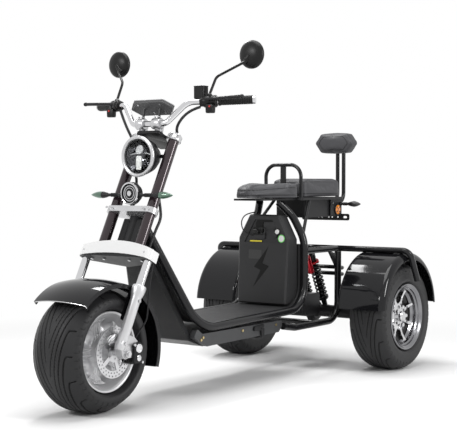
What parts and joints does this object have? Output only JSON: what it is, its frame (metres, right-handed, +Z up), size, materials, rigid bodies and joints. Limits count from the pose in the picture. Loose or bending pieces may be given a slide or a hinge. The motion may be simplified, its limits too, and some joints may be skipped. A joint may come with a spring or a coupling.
{
  "type": "three-wheeled electric scooter",
  "caption": "Low fat-tyre electric trike scooter with a steered fork, step-through deck, boxed battery, two seats, backrest and sprung rear axle.",
  "frame": {"origin": "on the ground under the middle of the overall length and width", "axes": "+Z up, -Y forward, +X to the scooter's left side; steering straight ahead"},
  "size_m": [1.028, 1.9352, 1.32],
  "materials": {
    "tyre": "matte",
    "front_rim": "polished",
    "rear_rim": "polished",
    "disc": "satin",
    "frame_grey": "satin",
    "frame_black": "gloss",
    "deck": "ribbed",
    "body_grey": "satin",
    "battery": "matte",
    "seat": "grained",
    "fender": "gloss",
    "fork_chrome": "polished",
    "cast_silver": "satin",
    "cast_black": "gloss",
    "cover": "gloss",
    "control_black": "matte",
    "grip": "matte",
    "lens": "clear",
    "signal": "clear",
    "red_anodised": "gloss",
    "spring": "satin",
    "motor": "satin",
    "hose": "matte"
  },
  "bodies": {
    "frame": {"frame_rails": "frame_grey", "steering_head": "frame_black", "footboard": "deck", "front_cowl": "body_grey", "side_beams": "body_grey", "battery_box": "battery", "charge_lead": "hose", "rider_seat": "seat", "passenger_seat": "seat", "seat_frame": "frame_black", "under_seat_box": "control_black", "grab_hoop": "frame_grey", "backrest_posts": "frame_black", "backrest_pad": "seat", "rear_turn_signals": "signal", "rear_subframe": "frame_black", "rear_rack": "frame_black", "rear_fenders": "fender", "rear_axle": "cast_black", "motor_block": "motor", "shock_absorbers": "spring", "shock_reservoirs": "red_anodised"},
    "fork": {"fork_tubes": "fork_chrome", "fork_bridge": "cast_black", "bridge_cover": "cover", "fork_sliders": "cast_silver", "lower_yoke": "cast_silver", "top_yoke": "cast_black", "handlebar_risers": "cast_silver", "handlebar": "fork_chrome", "grips": "grip", "hand_controls": "control_black", "mirrors": "control_black", "display": "control_black", "headlight_bucket": "cast_black", "headlight_rim": "fork_chrome", "headlight_lens": "lens", "horn": "fork_chrome", "front_turn_signals": "signal", "front_fender": "fender", "brake_caliper": "cast_black", "brake_hose": "hose", "left_loom": "hose", "right_loom": "hose", "front_spindle": "disc"},
    "front_wheel": {"front_tyre": "tyre", "front_rim": "front_rim", "brake_disc": "disc"},
    "rear_left_wheel": {"rear_left_tyre": "tyre", "rear_left_rim": "rear_rim"},
    "rear_right_wheel": {"rear_right_tyre": "tyre", "rear_right_rim": "rear_rim"}
  },
  "joints": [
    {"name": "steering", "type": "hinge", "parent": "frame", "child": "fork", "pos_m": [0, -0.73559, 0.20777], "axis": [0, 0.4571, 0.8894], "range_deg": [-36, 36]},
    {"name": "front_wheel_spin", "type": "hinge", "parent": "fork", "child": "front_wheel", "pos_m": [0, -0.7516, 0.216], "axis": [1, 0, 0], "continuous": true},
    {"name": "rear_left_wheel_spin", "type": "hinge", "parent": "frame", "child": "rear_left_wheel", "pos_m": [0.386, 0.7184, 0.227], "axis": [1, 0, 0], "continuous": true},
    {"name": "rear_right_wheel_spin", "type": "hinge", "parent": "frame", "child": "rear_right_wheel", "pos_m": [-0.386, 0.7184, 0.227], "axis": [1, 0, 0], "continuous": true}
  ]
}
